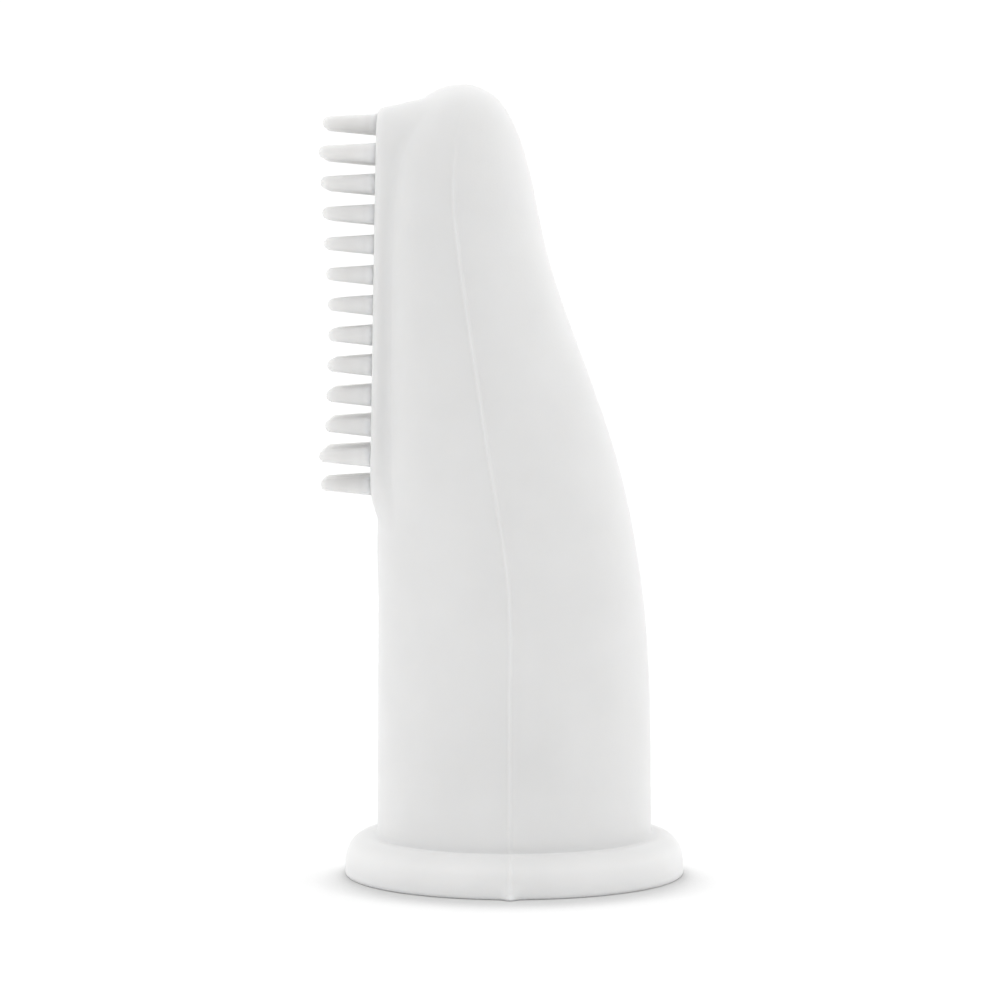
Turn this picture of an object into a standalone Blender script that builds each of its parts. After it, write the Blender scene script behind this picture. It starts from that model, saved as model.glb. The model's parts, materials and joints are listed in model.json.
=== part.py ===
"""Finger toothbrush for pets: a silicone thimble with a rolled mouth and a pad of soft bristles.

The brush stands on its mouth. +Z runs up the finger, -X is the bristle side, and the origin is
the middle of the mouth, on the surface that the brush stands on. Sizes below are millimetres.
The brush is one moulding; each of its working features is an object of its own here, and each
row of bristles turns on the root bar that it stands on, as the silicone bends at its root.
"""
import math

import bmesh
import bpy
from mathutils import Matrix, Vector

MM = 0.001
SHARP_ANGLE = 40
MERGE_DISTANCE = 0.00001

# Finger sleeve: cross-sections from the mouth to the tip. Each gives its height, the x of its
# front, back and widest line, its half width, and how square its front is (2 is an ellipse).
WALL = 1.25
SECTIONS = (
    # height, front, back, widest, half width, squareness
    (0.3, -10.10, 10.15, -0.32, 10.10, 2.0),
    (8.0, -10.05, 10.10, -0.32, 10.05, 2.0),
    (15.0, -10.02, 9.95, -0.32, 9.95, 2.0),
    (21.0, -10.00, 9.45, -0.36, 9.80, 2.1),
    (25.5, -9.97, 8.75, -0.86, 9.55, 2.4),
    (29.0, -9.20, 8.00, -1.45, 9.30, 3.1),
    (34.0, -8.85, 6.50, -2.25, 8.90, 3.8),
    (40.0, -8.80, 4.30, -3.15, 8.40, 4.0),
    (46.0, -8.80, 2.35, -4.00, 7.90, 4.0),
    (50.5, -8.75, 1.40, -4.35, 7.45, 3.7),
    (53.5, -8.45, 0.62, -4.20, 6.80, 3.2),
    (55.6, -7.70, -0.25, -3.95, 5.80, 2.7),
    (56.9, -6.75, -1.15, -3.80, 4.50, 2.3),
    (57.7, -5.40, -2.30, -3.75, 2.60, 2.0),
    (58.0, -3.75, -3.75, -3.75, 0.00, 2.0),
)
RINGS_PER_SECTION = 2
SLEEVE_SIDES = 40

# Mouth rim: a round bead about the foot of the sleeve, flat underneath.
RIM_OUTER = 12.4
RIM_BEAD = 1.70
RIM_BEAD_HEIGHT = 1.55
RIM_INNER = 10.35
RIM_SIDES = 56
RIM_BEAD_STEPS = 10

# Bristle pad: a raised slab up the front. Its face leans back a little towards the tip.
FACE_LOW = (-10.42, 28.80)
FACE_HIGH = (-9.93, 55.07)
PAD_BOTTOM = 26.7
PAD_TOP = 56.25
PAD_HALF_WIDTH = 5.7
PAD_CORNER = 3.3
PAD_CORNER_STEPS = 6
PAD_EDGE = 0.3
PAD_EDGE_STEPS = 2
PAD_BACK = 4.2
SEAT_GAP = 0.2

# Bristle rows: tapered bristles in columns, longest at the tip end and again at the low end.
ROWS = 13
COLUMNS = 5
END_COLUMNS = 3
COLUMN_PITCH = 2.2
ROOT_RADIUS = 0.66
TIP_RADIUS = 0.46
TIP_ROUND = 0.42
TIP_FLAT = 0.75
ROOT_DEPTH = 0.3
ROOT_TAPER = 0.85
BRISTLE_SIDES = 8
LENGTHS = ((1, 3.93), (2, 4.04), (7.5, 3.12), (11, 3.28), (12, 3.64), (13, 3.60))

# Root bars: half-round bars that lie in grooves across the pad, flush with its face.
BAR_RADIUS = 0.70
BAR_OVERHANG = 0.65
GROOVE_RADIUS = 0.85
GROOVE_END_GAP = 0.15
BAR_SIDES = 20

WHITE_SILICONE = (0.84, 0.84, 0.83)


def remove_everything():
    for old in list(bpy.data.objects):
        bpy.data.objects.remove(old)


def new_collection(name):
    collection = bpy.data.collections.new(name)
    bpy.context.scene.collection.children.link(collection)
    return collection


def silicone(name, roughness):
    """White silicone with its own roughness."""
    material = bpy.data.materials.new(name)
    material.use_nodes = True
    surface = material.node_tree.nodes["Principled BSDF"]
    surface.inputs["Base Color"].default_value = (*WHITE_SILICONE, 1.0)
    surface.inputs["Roughness"].default_value = roughness
    surface.inputs["Metallic"].default_value = 0.0
    return material


def new_object(name, mesh, collection, material=None, parent=None):
    obj = bpy.data.objects.new(name, mesh)
    collection.objects.link(obj)
    obj.parent = parent
    if material:
        mesh.materials.append(material)
    return obj


def mesh_from_bmesh(name, bm):
    """The finished mesh, facing out and shaded smooth between its sharp edges."""
    mesh = bpy.data.meshes.new(name)
    bmesh.ops.recalc_face_normals(bm, faces=bm.faces)
    bm.to_mesh(mesh)
    bm.free()
    mesh.shade_smooth()
    mesh.set_sharp_from_angle(angle=math.radians(SHARP_ANGLE))
    return mesh


def as_cutter(obj):
    obj.display_type = "WIRE"
    obj.hide_render = True
    return obj


def boolean(obj, operation, other):
    modifier = obj.modifiers.new(operation.lower(), "BOOLEAN")
    modifier.operation = operation
    modifier.solver = "EXACT"
    modifier.object = other


def catmull_rom(points, at):
    """The smooth curve through evenly numbered points, read at a fractional number."""
    last = len(points) - 1
    start = min(int(at), last - 1)
    t = at - start
    before, a, b, after = (points[min(max(start + i, 0), last)] for i in (-1, 0, 1, 2))
    return tuple(
        0.5 * (2 * q + (r - p) * t + (2 * p - 5 * q + 4 * r - s) * t**2 + (3 * q - p - 3 * r + s) * t**3)
        for p, q, r, s in zip(before, a, b, after)
    )


def section_points(section, grow):
    """One cross-section of the sleeve: an ellipse behind its widest line, squarer in front."""
    height, front, back, widest, half_width, squareness = section
    points = []
    for i in range(SLEEVE_SIDES):
        angle = 2 * math.pi * (i + 0.5) / SLEEVE_SIDES
        c, s = math.cos(angle), math.sin(angle)
        power = 1.0 if c > 0 else 2 / squareness
        depth = (back - widest if c > 0 else widest - front) + grow
        x = widest + math.copysign(depth * abs(c) ** power, c)
        y = math.copysign((half_width + grow) * abs(s) ** power, s)
        points.append(Vector((x, y, height)) * MM)
    return points


def sleeve_surface(name, grow=0.0, close_foot=False):
    """The sleeve's outer surface, lofted up to its tip, and grown outwards if asked."""
    bm = bmesh.new()
    steps = (len(SECTIONS) - 1) * RINGS_PER_SECTION
    sections = [catmull_rom(SECTIONS, i / RINGS_PER_SECTION) for i in range(steps)]
    rings = [[bm.verts.new(p) for p in section_points(s, grow)] for s in sections]
    for low, high in zip(rings, rings[1:]):
        for i in range(SLEEVE_SIDES):
            j = (i + 1) % SLEEVE_SIDES
            bm.faces.new((low[i], low[j], high[j], high[i]))
    tip = SECTIONS[-1]
    pole = bm.verts.new(Vector((tip[3], 0, tip[0] + grow)) * MM)
    for i in range(SLEEVE_SIDES):
        bm.faces.new((rings[-1][i], rings[-1][(i + 1) % SLEEVE_SIDES], pole))
    if close_foot:
        bm.faces.new(reversed(rings[0]))
    return mesh_from_bmesh(name, bm)


def make_sleeve(parts):
    """The hollow finger sleeve: its outer surface with the wall thickness inside it."""
    mesh = sleeve_surface("finger_sleeve")
    sleeve = new_object("finger_sleeve", mesh, parts, silicone("silicone_sleeve", 0.45))
    wall = sleeve.modifiers.new("wall", "SOLIDIFY")
    wall.thickness = WALL * MM
    wall.offset = -1.0
    wall.use_even_offset = True
    return sleeve


def turned(name, profile, steps, collection, material=None, parent=None, closed=False):
    """A profile of (radius, height) points, listed down its outer side, turned about Z."""
    mesh = bpy.data.meshes.new(name)
    edges = [(i, i + 1) for i in range(len(profile) - 1)]
    if closed:
        edges.append((len(profile) - 1, 0))
    mesh.from_pydata([(r * MM, 0, z * MM) for r, z in profile], edges, [])
    obj = new_object(name, mesh, collection, material, parent)
    screw = obj.modifiers.new("turn", "SCREW")
    screw.axis = "Z"
    screw.angle = 2 * math.pi
    screw.steps = steps
    screw.render_steps = steps
    screw.use_merge_vertices = True
    screw.merge_threshold = MERGE_DISTANCE
    screw.use_smooth_shade = True
    return obj


def make_rim(parts):
    """The rolled rim: a bead whose round starts at the sleeve and ends at the flat foot."""
    centre = RIM_OUTER - RIM_BEAD
    start = math.acos((RIM_INNER - centre) / RIM_BEAD)
    end = -math.asin(RIM_BEAD_HEIGHT / RIM_BEAD)
    profile = []
    for i in range(RIM_BEAD_STEPS + 1):
        angle = start + (end - start) * i / RIM_BEAD_STEPS
        height = RIM_BEAD_HEIGHT + RIM_BEAD * math.sin(angle)
        profile.append((centre + RIM_BEAD * math.cos(angle), max(height, 0.0)))
    profile.append((RIM_INNER, 0.0))
    return turned("mouth_rim", profile, RIM_SIDES, parts, silicone("silicone_rim", 0.4), closed=True)


def make_pad_frame(parts):
    """An empty on the pad's face at mid height, leaning as the face does."""
    frame = bpy.data.objects.new("pad_frame", None)
    parts.objects.link(frame)
    x_low, z_low = FACE_LOW
    x_high, z_high = FACE_HIGH
    frame.location = Vector(((x_low + x_high) / 2, 0, (z_low + z_high) / 2)) * MM
    frame.rotation_euler = (0, math.atan2(x_high - x_low, z_high - z_low), 0)
    return frame


def row_height(row):
    """Distance of a row's bar along the face from the pad frame; row 1 is nearest the tip."""
    x_low, z_low = FACE_LOW
    x_high, z_high = FACE_HIGH
    span = math.hypot(x_high - x_low, z_high - z_low)
    return span / 2 - (row - 1) * span / (ROWS - 1)


def row_columns(row):
    return END_COLUMNS if row in (1, ROWS) else COLUMNS


def bar_half_length(row):
    return (row_columns(row) - 1) / 2 * COLUMN_PITCH + BAR_OVERHANG


def bristle_length(row):
    """Length of a row's bristles, read between the rows that set the trim line."""
    for (first, a), (last, b) in zip(LENGTHS, LENGTHS[1:]):
        if first <= row <= last:
            return a + (b - a) * (row - first) / (last - first)
    return LENGTHS[-1][1]


def cylinder_along_y(radius, half_length):
    """A closed cylinder whose axis is the local Y axis."""
    bm = bmesh.new()
    radius, depth = radius * MM, 2 * half_length * MM
    bmesh.ops.create_cone(
        bm, cap_ends=True, segments=BAR_SIDES, radius1=radius, radius2=radius, depth=depth
    )
    bmesh.ops.rotate(bm, verts=bm.verts, matrix=Matrix.Rotation(math.pi / 2, 3, "X"))
    return bm


def round_edges(bm, edges, radius, steps):
    bmesh.ops.bevel(bm, geom=edges, offset=radius * MM, segments=steps, profile=0.5, affect="EDGES")


def make_pad(parts, cutters, frame):
    """The bristle pad: a round-cornered slab, hollowed to the sleeve and grooved for the bars."""
    middle = frame.location.z / MM
    top, bottom = PAD_TOP - middle, PAD_BOTTOM - middle
    bm = bmesh.new()
    bmesh.ops.create_cube(bm, size=MM)
    for vert in bm.verts:
        vert.co.x = PAD_BACK * MM if vert.co.x > 0 else 0.0
        vert.co.y *= 2 * PAD_HALF_WIDTH
        vert.co.z = (top if vert.co.z > 0 else bottom) * MM
    corners = [e for e in bm.edges if abs(e.verts[0].co.x - e.verts[1].co.x) > MERGE_DISTANCE]
    round_edges(bm, corners, PAD_CORNER, PAD_CORNER_STEPS)
    face_edges = [e for e in bm.edges if all(v.co.x < MERGE_DISTANCE for v in e.verts)]
    round_edges(bm, face_edges, PAD_EDGE, PAD_EDGE_STEPS)
    mesh = mesh_from_bmesh("bristle_pad", bm)
    pad = new_object("bristle_pad", mesh, parts, silicone("silicone_pad", 0.45), frame)

    seat = new_object("sleeve_seat", sleeve_surface("sleeve_seat", SEAT_GAP, True), cutters)
    boolean(pad, "DIFFERENCE", as_cutter(seat))
    for row in range(1, ROWS + 1):
        name = f"groove_{row:02d}"
        length = bar_half_length(row) + GROOVE_END_GAP
        groove = mesh_from_bmesh(name, cylinder_along_y(GROOVE_RADIUS, length))
        cutter = new_object(name, groove, cutters, parent=frame)
        cutter.location.z = row_height(row) * MM
        boolean(pad, "DIFFERENCE", as_cutter(cutter))
    return pad


def bristle_profile(length):
    """Half of a bristle, from its round tip down to the plug that sits in the bar."""
    drop = TIP_ROUND * (1 - math.sqrt(1 - TIP_FLAT**2))
    return [
        (0.0, length),
        (TIP_RADIUS * TIP_FLAT, length - drop),
        (TIP_RADIUS, length - TIP_ROUND),
        (ROOT_RADIUS, 0.0),
        (ROOT_RADIUS * ROOT_TAPER, -ROOT_DEPTH),
        (0.0, -ROOT_DEPTH),
    ]


def make_row(row, parts, cutters, frame, material):
    """One row of bristles standing on a half-round bar, whose axis is the row's hinge."""
    name = f"bristle_row_{row:02d}"
    bm = cylinder_along_y(BAR_RADIUS, bar_half_length(row))
    everything = list(bm.verts) + list(bm.edges) + list(bm.faces)
    bmesh.ops.bisect_plane(bm, geom=everything, plane_co=(0, 0, 0), plane_no=(-1, 0, 0), clear_outer=True)
    bmesh.ops.holes_fill(bm, edges=[e for e in bm.edges if e.is_boundary])
    bar = new_object(name, mesh_from_bmesh(name, bm), parts, material, frame)
    bar.location.z = row_height(row) * MM

    columns = row_columns(row)
    bristles = turned(f"bristles_{row:02d}", bristle_profile(bristle_length(row)), BRISTLE_SIDES, cutters)
    bristles.parent = bar
    bristles.location.y = -(columns - 1) / 2 * COLUMN_PITCH * MM
    bristles.rotation_euler.y = -math.pi / 2
    repeat = bristles.modifiers.new("columns", "ARRAY")
    repeat.count = columns
    repeat.use_relative_offset = False
    repeat.use_constant_offset = True
    repeat.constant_offset_displace = (0, COLUMN_PITCH * MM, 0)
    boolean(bar, "UNION", as_cutter(bristles))
    return bar


def main():
    remove_everything()
    parts = new_collection("finger_toothbrush")
    cutters = new_collection("cutters")
    make_sleeve(parts)
    make_rim(parts)
    frame = make_pad_frame(parts)
    make_pad(parts, cutters, frame)
    bristle_material = silicone("silicone_bristles", 0.4)
    for row in range(1, ROWS + 1):
        make_row(row, parts, cutters, frame, bristle_material)


main()
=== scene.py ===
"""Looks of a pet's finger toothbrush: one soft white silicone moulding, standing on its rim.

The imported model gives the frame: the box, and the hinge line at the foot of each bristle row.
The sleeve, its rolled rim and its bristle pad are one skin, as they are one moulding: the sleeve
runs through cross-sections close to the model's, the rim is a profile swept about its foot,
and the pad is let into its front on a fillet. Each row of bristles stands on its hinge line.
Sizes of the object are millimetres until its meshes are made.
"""
import json
import math

import bmesh
import bpy
import numpy as np
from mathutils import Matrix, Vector
from mathutils.geometry import delaunay_2d_cdt


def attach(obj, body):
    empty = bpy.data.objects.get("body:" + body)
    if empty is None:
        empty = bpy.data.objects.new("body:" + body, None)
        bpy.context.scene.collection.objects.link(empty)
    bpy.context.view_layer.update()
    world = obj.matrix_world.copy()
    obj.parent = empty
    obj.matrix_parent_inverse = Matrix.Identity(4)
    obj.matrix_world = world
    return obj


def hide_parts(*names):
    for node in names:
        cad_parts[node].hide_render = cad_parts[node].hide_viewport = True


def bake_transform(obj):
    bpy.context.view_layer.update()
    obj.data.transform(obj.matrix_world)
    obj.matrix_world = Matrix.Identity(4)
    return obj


MM = 0.001
SHARP_ANGLE = 50
MERGE_DISTANCE = 1e-6
SMALLEST_EDGE = 1e-7

# Finger sleeve: height, front, back, widest line, half width and squareness of the front.
SECTIONS = np.array((
    (0.3, -10.10, 10.15, -0.32, 10.10, 2.0),
    (8.0, -10.05, 10.10, -0.32, 10.05, 2.0),
    (15.0, -10.02, 9.95, -0.32, 9.95, 2.0),
    (21.0, -10.00, 9.45, -0.36, 9.80, 2.1),
    (25.5, -10.02, 8.75, -0.86, 9.55, 2.4),
    (29.0, -9.81, 8.00, -1.45, 9.30, 2.8),
    (34.0, -9.62, 6.50, -2.25, 8.90, 3.3),
    (40.0, -9.52, 4.30, -3.15, 8.40, 3.5),
    (46.0, -9.45, 2.35, -4.00, 7.90, 3.6),
    (50.5, -9.28, 1.40, -4.35, 7.45, 3.6),
    (53.5, -8.90, 0.62, -4.20, 6.85, 3.5),
    (55.6, -7.95, -0.25, -3.95, 5.82, 2.8),
    (56.9, -6.75, -1.15, -3.80, 4.50, 2.3),
    (57.7, -5.40, -2.30, -3.75, 2.60, 2.0),
    (58.0, -3.75, -3.75, -3.75, 0.00, 2.0),
))
HEIGHT, FRONT, BACK, WIDEST, HALF, SQUARE = range(6)
TIP = len(SECTIONS) - 1
BACK_SQUARENESS = 2.0
RINGS = 150
COLUMNS_PER_QUARTER = 28
QUARTER_POINTS = 401
FINE_SECTIONS = 3001
TINY = 1e-3
LEAST_SLOPE = 1e-6

# Finger cavity: the wall's thickness, how far the hollow's rings sink under the tip and the
# height from which on they do, their least half width, and the last one's rise to the end.
WALL = 1.25
TIP_WALL = 1.1 * WALL
TIP_WALL_FROM = 46
CAVITY_END = 0.6
CAVITY_RISE = 0.08

# Parting line: a fine ridge of flash down both sides of the sleeve and over the rim. It fades
# between two heights near the tip, and over SEAM_ENDS to either side of the sleeve's outside where
# the rim begins and ends. The steps are the distances of the columns of points from it, where a
# quarter of the cross-section is at least FULL_QUARTER long.
SEAM_HEIGHT = 0.10
SEAM_WIDTH = 0.13
SEAM_FADES = (47, 56)
SEAM_ENDS = 0.3
SEAM_STEPS = np.array((0.0, 0.05, 0.10, 0.15, 0.20, 0.27, 0.36, 0.50, 0.72))
FULL_QUARTER = 8.0

# Rim: (distance outside the sleeve, height), from the sleeve's outside, round the bead, under
# the foot, round the lip and up the inside.
RIM_TOP = 4.6
RIM_PROFILE = (
    (0.0, RIM_TOP), (0.0, 3.60), (0.01, 3.30), (0.08, 3.07), (0.26, 2.97), (0.58, 2.99),
    (0.93, 3.00), (1.27, 2.91), (1.60, 2.70), (1.88, 2.41), (2.10, 2.05), (2.25, 1.65),
    (2.33, 1.22), (2.35, 0.80), (2.35, 0.38), (2.33, 0.10), (2.22, 0.0), (1.60, 0.0),
    (0.70, 0.0), (-0.30, 0.0), (-0.72, 0.08), (-1.05, 0.36), (-1.22, 0.85), (-1.27, 1.60),
    (-1.27, 2.60), (-1.26, 3.60), (-1.25, 4.40),
)
RIM_SPACING = 0.13
RIM_GAP = 0.2

# Gate mark, where the silicone was let in, at the foot of the rim: a low nub with a small foot.
# Half width, height, how far it stands proud. Their top edge fades over the share NUB_RISE of
# their height, and they lie on the bead from NUB_FROM outside the sleeve on.
NUB = (0.70, 1.25, 0.22)
NUB_FOOT = (0.34, 0.45, 0.24)
NUB_SQUARENESS = 8
NUB_RISE = 0.8
NUB_FROM = 0.8

# Bristle pad, in the plane of its face: its outline, the rounding of its edge, the fillet about
# its foot, and the gap left for the stitches between fillet and sleeve. Edge and fillet take at
# most these shares of the wall's depth where it is low.
PAD_HALF_WIDTH = 5.7
PAD_TOP = 56.15
PAD_BOTTOM = 27.90
PAD_CORNER = 3.3
PAD_EDGE = 0.55
PAD_ROOT = 0.62
PAD_MARGIN = 0.3
PAD_DEEPEST = 8.0
EDGE_SHARE = 0.35
ROOT_SHARE = 0.6
FACE_SHARES = (0, 0.3, 0.6, 0.85, 0.96)
END_STEPS = 6
CORNER_STEPS = 14
SIDE_STEPS = 40
EDGE_STEPS = 7
ROOT_STEPS = 10
HALVINGS = 40
SPOTS_PER_EDGE = 4
STITCH_TOLERANCE = 1e-6

# How far the pad's side walls lean out for each millimetre of depth: everywhere, and more at its
# top and at its lower end, which slopes off to the sleeve.
PAD_DRAFT = 0.10
PAD_DRAFT_TOP = 0.12
PAD_DRAFT_END = 2.9

# Bristles.
ROWS = 13
COLUMNS = 5
END_COLUMNS = 3
COLUMN_PITCH = 2.2
ROOT_RADIUS = 0.73
TIP_RADIUS = 0.47
TIP_ROUND = 0.50
ROOT_DEPTH = 0.35
BRISTLE_SIDES = 24
TAPER_STEPS = 14
TIP_STEPS = 9
LENGTHS = ((1, 3.97), (2, 4.12), (5, 3.62), (7.5, 3.20), (11, 3.35), (12, 3.75), (13, 3.70))

# Silicone. Light sinks in by a share and a depth in metres.
SILICONE_IOR = 1.42
ROUGHNESS = 0.38
BODY_SINKS_IN = (0.6, 0.0009)
BRISTLES_SINK_IN = (1.0, 0.0024)
SINKS_IN_BY_COLOUR = (1.0, 0.95, 0.9)
SHEEN = 0.42
SHEEN_ROUGHNESS = 0.4
WARMTH = 0.996

# Cloudiness and satin: how many patches in a metre, their detail, and how much they change.
CLOUDS = (160, 4)
CLOUD_SHADE = 0.96
SATIN = (420, 3)
SATIN_CHANGE = (-0.05, 0.06)
GRAIN = (5200, 2)
GRAIN_STRENGTH = 0.12
GRAIN_DEPTH = 0.00005
NOISE_RANGE = (0.3, 0.7)

# Greys: (millimetres, grey) up from the floor and out from the pad along the bristles. Besides the
# silicone's own tone they hold painted light and shade.
# Up the body: partly whiter where the wall is thick, partly painted light and shade: painted light
# lifting the lower sleeve, painted shade at the crease above the bead, a painted highlight on the
# bead's shoulder, and painted light lifting the bead's foot.
BODY_GREYS_AND_PAINTED_LIGHT = ((9.0, 0.763), (5.0, 0.783), (3.3, 0.783), (2.85, 0.762), (1.9, 0.830), (0.3, 0.870))
# Along the bristles: painted light lifts the roots out of the shade among the rows and the pad.
BRISTLE_GREYS_AND_PAINTED_LIGHT = ((0.0, 0.88), (0.8, 0.70), (2.0, 0.65), (4.0, 0.65))

# Camera, in metres and degrees; the lens and its sensor's width in millimetres.
CAMERA_DISTANCE = 0.280
CAMERA_ELEVATION = 3.5
CAMERA_TARGET = Vector((-0.00103, 0, 0.02760))
CAMERA_LENS = 137.1
CAMERA_SENSOR = 36
CAMERA_CLIP = 0.01

# Light: the tent's even part, then its softly edged panels: direction, the cosines where each
# starts to show and where it is full, and its strength. The tent is seen as plain white.
TENT = 0.71
PANELS = (
    ((0, 0, 1), 0.50, 0.95, 0.44),
    ((-1, 0, 0.15), 0.30, 0.90, 0.34),
    ((1, 0, 0.15), 0.30, 0.90, 0.34),
    ((0, 1, 0), 0.35, 0.75, 0.30),
    ((0, 0.7, 0.7), 0.50, 0.95, 0.12),
)
TENT_SEEN = 1.05

# Floor, in metres: its size and greys, how far the painted shadow beside the rim reaches, the
# openness to the light where the painted shadow is fullest and where it ends, and how far the
# light that is taken away leans from behind, so that most of the painted shadow falls in front.
FLOOR_SIZE = 4
FLOOR_WHITE = 0.97
FLOOR_ROUGHNESS = 0.9
SHADE_TONE = 0.68
SHADE_REACH = 0.0075
SHADE_FULL = 0.63
SHADE_ENDS = 0.875
SHADE_LEAN = 1.2
SHADE_SAMPLES = 16


def spline(values, knots):
    """The natural cubic spline through rows of values at the knots, as a function."""
    values, knots = np.asarray(values, float), np.asarray(knots, float)
    gap = np.diff(knots)
    rate = np.diff(values, axis=0) / gap[:, None]
    matrix = np.eye(len(knots))
    right = np.zeros_like(values)
    for i in range(1, len(knots) - 1):
        matrix[i, i - 1:i + 2] = (gap[i - 1], 2 * (gap[i - 1] + gap[i]), gap[i])
        right[i] = 6 * (rate[i] - rate[i - 1])
    bend = np.linalg.solve(matrix, right)

    def read(at):
        at = np.clip(np.atleast_1d(np.asarray(at, float)), knots[0], knots[-1])
        i = np.minimum(np.searchsorted(knots, at, side="right") - 1, len(gap) - 1)
        h = gap[i][:, None]
        t = (at - knots[i])[:, None] / h
        u = 1 - t
        line = u * values[i] + t * values[i + 1]
        return line + h**2 * ((u**3 - u) * bend[i] + (t**3 - t) * bend[i + 1]) / 6

    return read


def smoothstep(x):
    """Rises softly from 0 to 1 between 0 and 1, and stays flat beyond."""
    x = np.clip(x, 0, 1)
    return x * x * (3 - 2 * x)


def arc_lengths(points):
    """How far along the line through the points each of them lies."""
    steps = np.linalg.norm(np.diff(points, axis=0), axis=1)
    return np.concatenate(([0], np.cumsum(steps)))


def sections_past_tip():
    """The sections, carried on over the tip as their mirror image, so that it comes out round."""
    mirrored = []
    for row in SECTIONS[TIP - 1:TIP - 4:-1]:
        copy = 2 * SECTIONS[TIP] - row
        copy[HEIGHT] = row[HEIGHT]
        copy[SQUARE] = row[SQUARE]
        mirrored.append(copy)
    return np.vstack((SECTIONS, mirrored))


def along_sections():
    """How far along the back's outline each section lies, on past the tip."""
    return arc_lengths(sections_past_tip()[:, [BACK, HEIGHT]])


section_at = spline(sections_past_tip(), along_sections())
TIP_ALONG = along_sections()[TIP]
FINE = section_at(np.linspace(0, TIP_ALONG, FINE_SECTIONS))


def quarter(depth, half, squareness):
    """A quarter of a cross-section: distances in x and y from its widest point to its end.

    The points crowd near the widest point, where the parting line is."""
    angle = math.pi / 2 * smoothstep(np.linspace(0, 1, QUARTER_POINTS))
    power = 2 / squareness
    line = np.stack((depth * np.sin(angle) ** power, half * np.cos(angle) ** power), axis=1)
    along = arc_lengths(line)
    near = SEAM_STEPS * min(1, along[-1] / FULL_QUARTER)
    far = np.linspace(near[-1], along[-1], COLUMNS_PER_QUARTER + 1)[1:]
    at = np.concatenate((near, far))
    return np.interp(at, along, line[:, 0]), np.interp(at, along, line[:, 1])


def ring(section, grow=0.0, height=None, seam=1.0):
    """One closed cross-section of the sleeve, grown outwards if asked, as points in order."""
    half = max(section[HALF] + grow, TINY)
    front = max(section[WIDEST] - section[FRONT] + grow, TINY)
    back = max(section[BACK] - section[WIDEST] + grow, TINY)
    front_x, front_y = quarter(front, half, section[SQUARE])
    back_x, back_y = quarter(back, half, BACK_SQUARENESS)
    side_x = np.concatenate((back_x[::-1], -front_x[1:]))
    side_y = np.concatenate((back_y[::-1], front_y[1:]))
    faded = smoothstep((section[HEIGHT] - SEAM_FADES[0]) / np.ptp(SEAM_FADES))
    ridge = seam * SEAM_HEIGHT * (1 - faded)
    side_y = side_y + ridge * np.exp(-((side_x / SEAM_WIDTH) ** 2))
    x = np.concatenate((side_x, side_x[-2:0:-1])) + section[WIDEST]
    y = np.concatenate((side_y, -side_y[-2:0:-1]))
    z = np.full_like(x, section[HEIGHT] if height is None else height)
    return np.stack((x, y, z), axis=1)


def section_by_height(z):
    """The section's values at each height, as columns."""
    return np.stack([np.interp(z, FINE[:, HEIGHT], column) for column in FINE.T], axis=-1)


def outside(points):
    """About how far each point lies outside the sleeve's outer surface."""
    s = section_by_height(points[:, 2])
    x = points[:, 0] - s[:, WIDEST]
    in_front = x < 0
    depth = np.where(in_front, s[:, WIDEST] - s[:, FRONT], s[:, BACK] - s[:, WIDEST])
    power = np.where(in_front, s[:, SQUARE], BACK_SQUARENESS)
    depth, half = np.maximum(depth, TINY), np.maximum(s[:, HALF], TINY)
    share = (np.abs(x) / depth) ** power + (np.abs(points[:, 1]) / half) ** power
    return (share ** (1 / power) - 1) * np.minimum(depth, half)


def slope(points, step=TINY):
    """The gradient of that distance."""
    columns = []
    for i in range(3):
        offset = np.zeros(3)
        offset[i] = step
        columns.append((outside(points + offset) - outside(points - offset)) / (2 * step))
    return np.stack(columns, axis=1)


def onto_sleeve(points, rounds=12):
    """The points moved to the sleeve's outer surface, each along the surface's own normal."""
    points = points.copy()
    for _ in range(rounds):
        g = slope(points)
        points -= g * (outside(points) / np.maximum((g * g).sum(axis=1), LEAST_SLOPE))[:, None]
    return points


def lofted(rings):
    """Points and faces through rings of points, each joined to the next; one point is a pole."""
    starts = np.concatenate(([0], np.cumsum([len(r) for r in rings])))[:-1]
    faces = []
    for a in range(len(rings) - 1):
        b = a + 1
        count = max(len(rings[a]), len(rings[b]))
        for i in range(count):
            j = (i + 1) % count
            corners = []
            for r, k in ((a, i), (a, j), (b, j), (b, i)):
                corner = int(starts[r]) + (k if len(rings[r]) > 1 else 0)
                if corner not in corners:
                    corners.append(corner)
            faces.append(corners)
    return np.vstack(rings), faces


def piece(name, points, faces, material):
    """The points and faces as a clean object, smooth between its sharp edges."""
    mesh = bpy.data.meshes.new(name)
    mesh.from_pydata((points * MM).tolist(), [], faces)
    bm = bmesh.new()
    bm.from_mesh(mesh)
    bmesh.ops.delete(bm, geom=[v for v in bm.verts if not v.link_faces], context="VERTS")
    bmesh.ops.remove_doubles(bm, verts=bm.verts, dist=MERGE_DISTANCE)
    bmesh.ops.dissolve_degenerate(bm, edges=bm.edges, dist=SMALLEST_EDGE)
    bmesh.ops.recalc_face_normals(bm, faces=bm.faces)
    bm.to_mesh(mesh)
    bm.free()
    mesh.shade_smooth()
    mesh.set_sharp_from_angle(angle=math.radians(SHARP_ANGLE))
    mesh.materials.append(material)
    obj = bpy.data.objects.new(name, mesh)
    bpy.context.scene.collection.objects.link(obj)
    return obj


def sleeve_outside():
    """Rings from the tip down the outside of the sleeve to the rim."""
    spots = np.linspace(TIP_ALONG, 0, RINGS)
    sections = section_at(spots)[1:]
    tip = np.array([[SECTIONS[TIP, WIDEST], 0, SECTIONS[TIP, HEIGHT]]])
    return [tip] + [ring(s) for s in sections if s[HEIGHT] > RIM_TOP + RIM_GAP]


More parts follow.
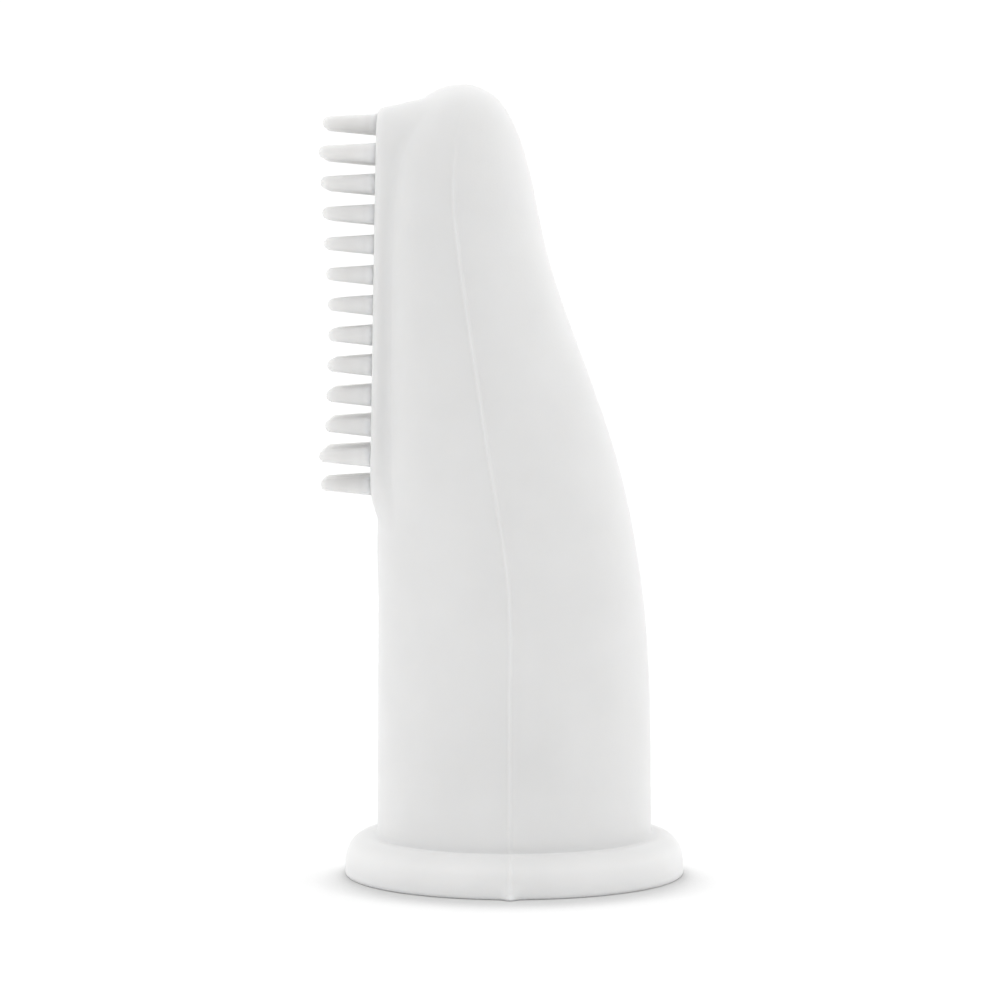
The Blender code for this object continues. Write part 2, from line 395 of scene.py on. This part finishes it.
def sleeve_inside():
    """Rings from the rim up the finger cavity, a wall's thickness inside, to its end."""
    rings = []
    for section in section_at(np.linspace(0, TIP_ALONG, RINGS // 2)):
        into_tip = (section[HEIGHT] - TIP_WALL_FROM) / (SECTIONS[TIP, HEIGHT] - TIP_WALL_FROM)
        height = section[HEIGHT] - TIP_WALL * float(smoothstep(into_tip))
        if height > RIM_TOP and section[HALF] > WALL + CAVITY_END:
            rings.append(ring(section, -WALL, height, seam=0))
    end = rings[-1].mean(axis=0)
    return rings + [np.array([[end[0], 0, end[2] + CAVITY_RISE]])]


def rim_around():
    """Rings from the sleeve's outside, round the rolled rim and its foot, to the inside."""
    knots = arc_lengths(np.array(RIM_PROFILE))
    profile = spline(RIM_PROFILE, knots)(np.linspace(0, knots[-1], int(knots[-1] / RIM_SPACING)))
    rings = []
    for grow, height in profile:
        height = max(height, 0)
        section = section_by_height(min(height, RIM_TOP))
        crossed = (grow + SEAM_ENDS) / (2 * SEAM_ENDS)
        points = ring(section, grow, height, seam=float(smoothstep(crossed)))
        if grow > NUB_FROM:
            on_near_side = points[:, 1] < 0
            for half_width, high, proud in (NUB, NUB_FOOT):
                near = np.exp(-(((points[:, 0] - section[WIDEST]) / half_width) ** NUB_SQUARENESS))
                share = float(smoothstep((high - height) / (NUB_RISE * high)))
                points[:, 1] -= on_near_side * near * proud * share
        rings.append(points)
    return rings


def face_line():
    """Where the pad's face lies: its x at any height, through the bristle rows' hinges."""
    feet = np.array([j["pos_m"] for j in frame["joints"]]) / MM
    steepness, start = np.polyfit(feet[:, 2], feet[:, 0], 1)
    return lambda z: start + steepness * z


def pad_outline():
    """The pad's outline as (y, z), with its outward directions, from the top round to the top."""
    middle_top, middle_bottom = PAD_TOP - PAD_CORNER, PAD_BOTTOM + PAD_CORNER
    flat = PAD_HALF_WIDTH - PAD_CORNER
    points, out = [], []

    def add(y, z, dy, dz):
        points.append((y, z))
        out.append((dy, dz))

    for y in np.linspace(0, flat, END_STEPS + 1)[:-1]:
        add(y, PAD_TOP, 0, 1)
    for angle in np.linspace(math.pi / 2, 0, CORNER_STEPS + 1)[:-1]:
        c, s = math.cos(angle), math.sin(angle)
        add(flat + PAD_CORNER * c, middle_top + PAD_CORNER * s, c, s)
    for z in np.linspace(middle_top, middle_bottom, SIDE_STEPS + 1)[:-1]:
        add(PAD_HALF_WIDTH, z, 1, 0)
    for angle in np.linspace(0, -math.pi / 2, CORNER_STEPS + 1)[:-1]:
        c, s = math.cos(angle), math.sin(angle)
        add(flat + PAD_CORNER * c, middle_bottom + PAD_CORNER * s, c, s)
    for y in np.linspace(flat, 0, END_STEPS + 1):
        add(y, PAD_BOTTOM, 0, -1)
    points, out = np.array(points), np.array(out)
    other = slice(len(points) - 2, 0, -1)
    flip = np.array((-1, 1))
    return np.vstack((points, points[other] * flip)), np.vstack((out, out[other] * flip))


def bezier(a, b, c, count):
    """Points along the curve from a to c that b pulls on, without a itself."""
    shares = np.linspace(0, 1, count + 1)[1:]
    return [(1 - t) ** 2 * a + 2 * t * (1 - t) * b + t * t * c for t in shares]


def pad_rings(face_x):
    """Rings from the middle of the pad's flat face, over its edge, down a fillet to the sleeve."""
    outline, out = pad_outline()
    up, down = np.maximum(out[:, 1], 0), np.maximum(-out[:, 1], 0)
    draft = PAD_DRAFT + PAD_DRAFT_TOP * up**2 + PAD_DRAFT_END * down**3

    def on_face(yz):
        return np.column_stack((face_x(yz[:, 1]), yz))

    outward = np.column_stack((np.zeros(len(out)), out))
    wall = np.column_stack((np.ones(len(out)), out * draft[:, None]))
    wall /= np.linalg.norm(wall, axis=1)[:, None]

    corner = on_face(outline)
    near, far = np.zeros(len(corner)), np.full(len(corner), PAD_DEEPEST)
    for _ in range(HALVINGS):
        middle = (near + far) / 2
        is_out = outside(corner + wall * middle[:, None]) > 0
        near, far = np.where(is_out, middle, near), np.where(is_out, far, middle)
    depth = near[:, None]
    foot = corner + wall * depth
    surface = slope(foot)
    surface /= np.linalg.norm(surface, axis=1)[:, None]
    away = outward - surface * (outward * surface).sum(axis=1)[:, None]
    away /= np.linalg.norm(away, axis=1)[:, None]
    root = np.minimum(PAD_ROOT, ROOT_SHARE * near)[:, None]
    landing = onto_sleeve(foot + away * root)

    edge = np.minimum(PAD_EDGE, EDGE_SHARE * depth)
    edge_start = on_face(outline - out * PAD_EDGE)
    edge_end = corner + wall * edge
    wall_end = corner + wall * (depth - root)

    spine = np.column_stack((
        np.zeros(len(outline)),
        np.clip(outline[:, 1], PAD_BOTTOM + PAD_HALF_WIDTH, PAD_TOP - PAD_HALF_WIDTH),
    ))
    flat = outline - out * PAD_EDGE
    rings = [on_face(spine + (flat - spine) * share) for share in FACE_SHARES]
    rings.append(edge_start)
    rings += bezier(edge_start, corner, edge_end, EDGE_STEPS)
    rings.append((edge_end + wall_end) / 2)
    rings.append(wall_end)
    rings += bezier(wall_end, foot, landing, ROOT_STEPS)
    return rings


def inside_loop(points, loop):
    """Which of the points (y, z) lie inside the closed loop."""
    inside = np.zeros(len(points), bool)
    for a, b in zip(loop, np.roll(loop, -1, axis=0)):
        crosses = (a[1] > points[:, 1]) != (b[1] > points[:, 1])
        rise = b[1] - a[1] if b[1] != a[1] else TINY
        where = a[0] + (points[:, 1] - a[1]) / rise * (b[0] - a[0])
        inside ^= crosses & (points[:, 0] < where)
    return inside


def near_line(points, loop, reach):
    """Which of the points lie within reach of the closed line through the loop's points."""
    steps = np.roll(loop, -1, axis=0) - loop
    near = np.zeros(len(points), bool)
    for share in np.linspace(0, 1, SPOTS_PER_EDGE + 1)[:-1]:
        for spot in loop + steps * share:
            near |= ((points - spot) ** 2).sum(axis=1) < reach**2
    return near


def boundary_loop(faces):
    """The vertices around the one hole in the faces, in order."""
    used = {}
    for corners in faces:
        for a, b in zip(corners, corners[1:] + corners[:1]):
            used[frozenset((a, b))] = used.get(frozenset((a, b)), 0) + 1
    beside = {}
    for edge, count in used.items():
        if count == 1:
            a, b = edge
            beside.setdefault(a, []).append(b)
            beside.setdefault(b, []).append(a)
    start = min(beside)
    loop, last = [start], None
    while True:
        step = [v for v in beside[loop[-1]] if v != last][0]
        last = loop[-1]
        if step == start:
            return loop
        loop.append(step)


def stitches(points, hole, landing):
    """Triangles that join the hole's edge to the pad's, seen from the front."""
    order = hole + landing
    seen = points[order, 1:]
    place = {vertex: i for i, vertex in enumerate(order)}
    edges = []
    for loop in (hole, landing):
        edges += [(place[a], place[b]) for a, b in zip(loop, loop[1:] + loop[:1])]
    made = delaunay_2d_cdt([Vector(p) for p in seen], edges, [], 0, STITCH_TOLERANCE)
    triangles = np.array([[made[3][corner][0] for corner in triangle] for triangle in made[2]])
    middles = seen[triangles].mean(axis=1)
    wanted = inside_loop(middles, points[hole, 1:]) & ~inside_loop(middles, points[landing, 1:])
    return [[order[corner] for corner in triangle] for triangle in triangles[wanted]]


def make_moulding(material, face_x):
    """The sleeve, the rim and the pad as one closed skin."""
    outside_rings = sleeve_outside()
    points, faces = lofted(outside_rings + rim_around() + sleeve_inside())
    pad = pad_rings(face_x)
    pad_points, pad_faces = lofted(pad)
    pad_faces = [[corner + len(points) for corner in corners] for corners in pad_faces]
    total = len(points) + len(pad_points)
    landing = list(range(total - len(pad[-1]), total))

    covered = inside_loop(points[:, 1:], pad[-1][:, 1:]) | near_line(points, pad[-1], PAD_MARGIN)
    covered &= points[:, 0] < section_by_height(points[:, 2])[:, WIDEST]
    covered[sum(len(r) for r in outside_rings):] = False
    faces = [corners for corners in faces if not covered[corners].any()]

    hole = boundary_loop(faces)
    points = np.vstack((points, pad_points))
    faces += pad_faces + stitches(points, hole, landing)
    return piece("moulding", points, faces, material)


def bristle_length(row):
    """Length of a row's bristles, read between the rows that set the trim line."""
    rows, lengths = zip(*LENGTHS)
    return float(np.interp(row, rows, lengths))


def bristle_profile(length):
    """(distance from the face, radius) from the plug in the pad out to the round tip."""
    profile = []
    taper = (ROOT_RADIUS - TIP_RADIUS) / (length - TIP_ROUND)
    for at in np.linspace(-ROOT_DEPTH, length - TIP_ROUND, TAPER_STEPS):
        profile.append((at, ROOT_RADIUS - taper * at))
    for angle in np.linspace(0, math.pi / 2, TIP_STEPS)[1:-1]:
        at = length - TIP_ROUND + TIP_ROUND * math.sin(angle)
        profile.append((at, TIP_RADIUS * math.cos(angle)))
    return profile


def make_row(row, joint, lean, material):
    """One row of bristles, standing square on the pad's face along the row's hinge line."""
    count = END_COLUMNS if row in (1, ROWS) else COLUMNS
    length = bristle_length(row)
    foot = np.array(joint["pos_m"]) / MM
    along = np.array((-math.cos(lean), 0, math.sin(lean)))
    across = np.array((0, 1, 0))
    third = np.cross(along, across)
    angles = 2 * math.pi * np.arange(BRISTLE_SIDES) / BRISTLE_SIDES
    circle = np.outer(np.cos(angles), across) + np.outer(np.sin(angles), third)
    name = f"{joint['child']}_bristles"
    bristles = []
    for column in range(count):
        base = foot + across * (column - (count - 1) / 2) * COLUMN_PITCH
        rings = [np.array([base - along * ROOT_DEPTH])]
        rings += [base + along * at + circle * radius for at, radius in bristle_profile(length)]
        rings.append(np.array([base + along * length]))
        bristles.append(piece(f"{name}_{column}", *lofted(rings), material))
    with bpy.context.temp_override(active_object=bristles[0], selected_editable_objects=bristles):
        bpy.ops.object.join()
    whole = bristles[0]
    whole.name = name
    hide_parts(f"bristle_row_{row:02d}")
    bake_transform(whole)
    return whole


def silicone(name, sinks_in, along, start, greys):
    """Soft white silicone: light sinks in a little, and the satin skin has a fine mould grain.

    Its grey changes along a direction, counted in millimetres from the start; besides its own
    tone, these greys paint light and shade into it."""
    material = bpy.data.materials.new(name)
    material.use_nodes = True
    nodes, links = material.node_tree.nodes, material.node_tree.links
    surface = nodes["Principled BSDF"]
    surface.inputs["IOR"].default_value = SILICONE_IOR
    surface.inputs["Subsurface Weight"].default_value = sinks_in[0]
    surface.inputs["Subsurface Radius"].default_value = SINKS_IN_BY_COLOUR
    surface.inputs["Subsurface Scale"].default_value = sinks_in[1]
    surface.inputs["Sheen Weight"].default_value = SHEEN
    surface.inputs["Sheen Roughness"].default_value = SHEEN_ROUGHNESS

    spot = nodes.new("ShaderNodeTexCoord").outputs["Object"]

    def noise(scale, detail):
        node = nodes.new("ShaderNodeTexNoise")
        node.inputs["Scale"].default_value = scale
        node.inputs["Detail"].default_value = detail
        links.new(spot, node.inputs["Vector"])
        return node.outputs["Fac"]

    def mapped(value, first, last, low=0, high=1):
        node = nodes.new("ShaderNodeMapRange")
        node.inputs["From Min"].default_value = first
        node.inputs["From Max"].default_value = last
        node.inputs["To Min"].default_value = low
        node.inputs["To Max"].default_value = high
        links.new(value, node.inputs["Value"])
        return node.outputs["Result"]

    reach = nodes.new("ShaderNodeVectorMath")
    reach.operation = "DOT_PRODUCT"
    reach.inputs[1].default_value = along
    links.new(spot, reach.inputs[0])
    first, last = greys[0][0], greys[-1][0]
    place = mapped(reach.outputs["Value"], (start + first) * MM, (start + last) * MM)
    # Painted light and shade: this ramp of greys lightens and darkens the base colour along the
    # direction.
    wall = nodes.new("ShaderNodeValToRGB")
    wall.color_ramp.interpolation = "EASE"
    stops = wall.color_ramp.elements
    while len(stops) < len(greys):
        stops.new(0.5)
    for stop, (at, grey) in zip(stops, greys):
        stop.position = (at - first) / (last - first)
        stop.color = (grey, grey, grey * WARMTH, 1)
    links.new(place, wall.inputs["Fac"])

    cloud = nodes.new("ShaderNodeMix")
    cloud.data_type = "RGBA"
    cloud.blend_type = "MULTIPLY"
    cloud.inputs["B"].default_value = (CLOUD_SHADE, CLOUD_SHADE, CLOUD_SHADE, 1)
    links.new(wall.outputs["Color"], cloud.inputs["A"])
    links.new(mapped(noise(*CLOUDS), *NOISE_RANGE), cloud.inputs["Factor"])
    links.new(cloud.outputs["Result"], surface.inputs["Base Color"])

    smoother, rougher = (ROUGHNESS + change for change in SATIN_CHANGE)
    satin = mapped(noise(*SATIN), *NOISE_RANGE, smoother, rougher)
    links.new(satin, surface.inputs["Roughness"])

    grain = nodes.new("ShaderNodeBump")
    grain.inputs["Strength"].default_value = GRAIN_STRENGTH
    grain.inputs["Distance"].default_value = GRAIN_DEPTH
    links.new(noise(*GRAIN), grain.inputs["Height"])
    links.new(grain.outputs["Normal"], surface.inputs["Normal"])
    return material


def make_floor():
    """A white floor with a painted shadow: its colour darkens softly where the rim shades it."""
    bpy.ops.mesh.primitive_plane_add(size=FLOOR_SIZE)
    floor = bpy.context.object
    floor.name = "floor"
    material = bpy.data.materials.new("floor_white")
    material.use_nodes = True
    nodes, links = material.node_tree.nodes, material.node_tree.links
    surface = nodes["Principled BSDF"]
    surface.inputs["Roughness"].default_value = FLOOR_ROUGHNESS
    surface.inputs["Specular IOR Level"].default_value = 0.0
    # Painted shadow: the floor's colour darkens with its occlusion by the rim.
    shade = nodes.new("ShaderNodeAmbientOcclusion")
    shade.samples = SHADE_SAMPLES
    shade.inputs["Distance"].default_value = SHADE_REACH
    from_behind = nodes.new("ShaderNodeCombineXYZ")
    from_behind.inputs["Y"].default_value = SHADE_LEAN
    from_behind.inputs["Z"].default_value = 1
    links.new(from_behind.outputs["Vector"], shade.inputs["Normal"])
    tone = nodes.new("ShaderNodeValToRGB")
    ends = ((SHADE_FULL, SHADE_TONE), (SHADE_ENDS, FLOOR_WHITE))
    for stop, (openness, grey) in zip(tone.color_ramp.elements, ends):
        stop.position = openness
        stop.color = (grey, grey, grey, 1)
    links.new(shade.outputs["AO"], tone.inputs["Fac"])
    links.new(tone.outputs["Color"], surface.inputs["Base Color"])
    floor.data.materials.append(material)


def make_light():
    """A white tent with soft panels of light, each brightest along its direction and fading off.

    The camera sees the tent as plain white behind the object."""
    world = bpy.data.worlds.new("white_tent")
    world.use_nodes = True
    bpy.context.scene.world = world
    nodes, links = world.node_tree.nodes, world.node_tree.links
    direction = nodes.new("ShaderNodeTexCoord").outputs["Generated"]
    strength = nodes.new("ShaderNodeValue").outputs["Value"]
    strength.default_value = TENT
    for toward, edge, middle, power in PANELS:
        turn = nodes.new("ShaderNodeVectorMath")
        turn.operation = "DOT_PRODUCT"
        turn.inputs[1].default_value = Vector(toward).normalized()
        links.new(direction, turn.inputs[0])
        panel = nodes.new("ShaderNodeMapRange")
        panel.interpolation_type = "SMOOTHSTEP"
        panel.inputs["From Min"].default_value = edge
        panel.inputs["From Max"].default_value = middle
        panel.inputs["To Min"].default_value = 0
        panel.inputs["To Max"].default_value = power
        links.new(turn.outputs["Value"], panel.inputs["Value"])
        total = nodes.new("ShaderNodeMath")
        total.operation = "ADD"
        links.new(strength, total.inputs[0])
        links.new(panel.outputs["Result"], total.inputs[1])
        strength = total.outputs["Value"]
    tent = nodes["Background"]
    tent.inputs["Color"].default_value = (1, 1, 1, 1)
    links.new(strength, tent.inputs["Strength"])
    seen = nodes.new("ShaderNodeBackground")
    seen.inputs["Color"].default_value = (1, 1, 1, 1)
    seen.inputs["Strength"].default_value = TENT_SEEN
    either = nodes.new("ShaderNodeMixShader")
    links.new(nodes.new("ShaderNodeLightPath").outputs["Is Camera Ray"], either.inputs["Fac"])
    links.new(tent.outputs["Background"], either.inputs[1])
    links.new(seen.outputs["Background"], either.inputs[2])
    links.new(either.outputs["Shader"], nodes["World Output"].inputs["Surface"])
    bpy.context.scene.view_settings.view_transform = "Standard"


def make_camera():
    """A long lens, square on to the brush's side and a little above it."""
    tilt = math.radians(CAMERA_ELEVATION)
    back = Vector((0, -math.cos(tilt), math.sin(tilt)))
    data = bpy.data.cameras.new("camera")
    data.lens = CAMERA_LENS
    data.sensor_width = CAMERA_SENSOR
    data.clip_start = CAMERA_CLIP
    camera = bpy.data.objects.new("camera", data)
    bpy.context.scene.collection.objects.link(camera)
    camera.location = CAMERA_TARGET + back * CAMERA_DISTANCE
    camera.rotation_euler = (-back).to_track_quat("-Z", "Y").to_euler()
    bpy.context.scene.camera = camera


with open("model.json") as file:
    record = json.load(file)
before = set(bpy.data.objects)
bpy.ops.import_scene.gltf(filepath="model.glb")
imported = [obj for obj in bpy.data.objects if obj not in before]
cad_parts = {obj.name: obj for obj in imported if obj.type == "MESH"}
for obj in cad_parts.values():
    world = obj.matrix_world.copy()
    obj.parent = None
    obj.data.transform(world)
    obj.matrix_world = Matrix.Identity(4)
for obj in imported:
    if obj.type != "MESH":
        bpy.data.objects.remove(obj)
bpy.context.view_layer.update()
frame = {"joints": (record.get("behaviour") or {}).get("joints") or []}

face_x = face_line()
lean = math.atan(face_x(1.0) - face_x(0.0))
out_of_face = Vector((-1, 0, math.tan(lean)))
body_material = silicone("white_silicone", BODY_SINKS_IN, Vector((0, 0, 1)), 0, BODY_GREYS_AND_PAINTED_LIGHT)
bristle_material = silicone(
    "bristle_silicone", BRISTLES_SINK_IN, out_of_face, -face_x(0.0), BRISTLE_GREYS_AND_PAINTED_LIGHT
)

moulding = make_moulding(body_material, face_x)
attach(moulding, "sleeve")
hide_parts("finger_sleeve", "mouth_rim", "bristle_pad")

for number, joint in enumerate(frame["joints"], start=1):
    make_row(number, joint, lean, bristle_material)

make_floor()
make_light()
make_camera()
